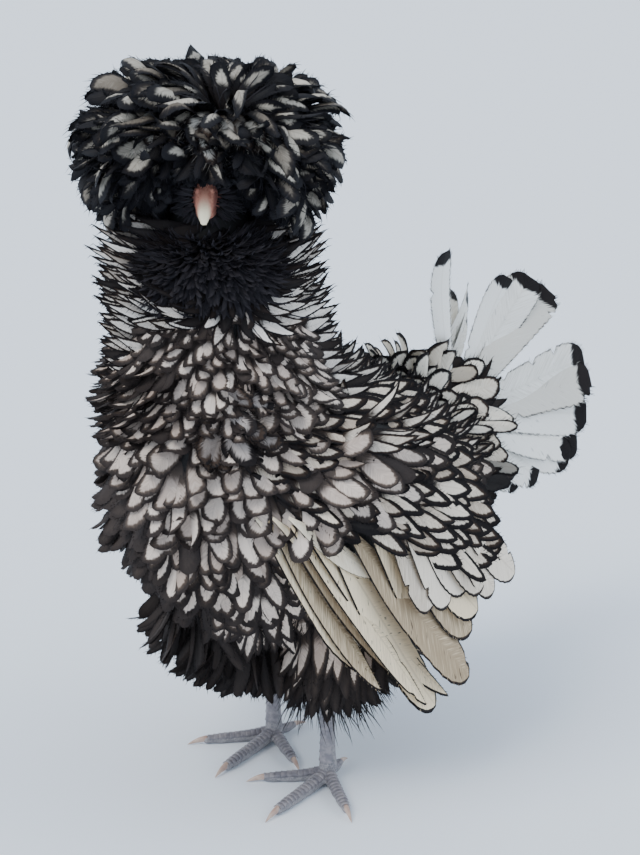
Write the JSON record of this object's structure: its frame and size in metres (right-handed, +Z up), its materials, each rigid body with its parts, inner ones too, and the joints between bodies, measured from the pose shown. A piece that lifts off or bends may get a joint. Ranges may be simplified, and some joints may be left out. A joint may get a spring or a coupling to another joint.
{
  "type": "frizzle chicken",
  "caption": "Standing crested hen with frizzled, laced feathers, a globe crest, a beard, drooping wings and a fanned tail.",
  "frame": {"origin": "on the floor under the middle of the bird's bounding box", "axes": "+Z up, -Y the way the body faces, +X to the bird's left; the head is turned 40 degrees towards its left"},
  "size_m": [0.2454, 0.4515, 0.4549],
  "materials": {
    "laced_feather": "soft matt feather, pale with a black edge",
    "black_feather": "black feather with pale grey centres",
    "white_feather": "cream-white feather with a black tip",
    "skin": "bare red-pink facial skin",
    "horn": "smooth pale pink horn",
    "eye": "glossy dark orange-brown eye",
    "slate": "scaled slate-grey leg skin",
    "claw": "pale horn"
  },
  "bodies": {
    "root": {"torso": "laced_feather", "neck": "laced_feather", "head": "skin", "upper_bill": "horn", "lower_bill": "horn", "eye_left": "eye", "eye_right": "eye", "crest": "black_feather", "beard": "black_feather", "tail": "white_feather", "wing_left": "laced_feather", "wing_right": "laced_feather", "thigh_left": "laced_feather", "thigh_right": "laced_feather", "shank_left": "slate", "shank_right": "slate", "foot_left": "slate", "foot_right": "slate", "claw_left_inner": "claw", "claw_left_middle": "claw", "claw_left_outer": "claw", "claw_left_back": "claw", "claw_right_inner": "claw", "claw_right_middle": "claw", "claw_right_outer": "claw", "claw_right_back": "claw"}
  },
  "joints": []
}
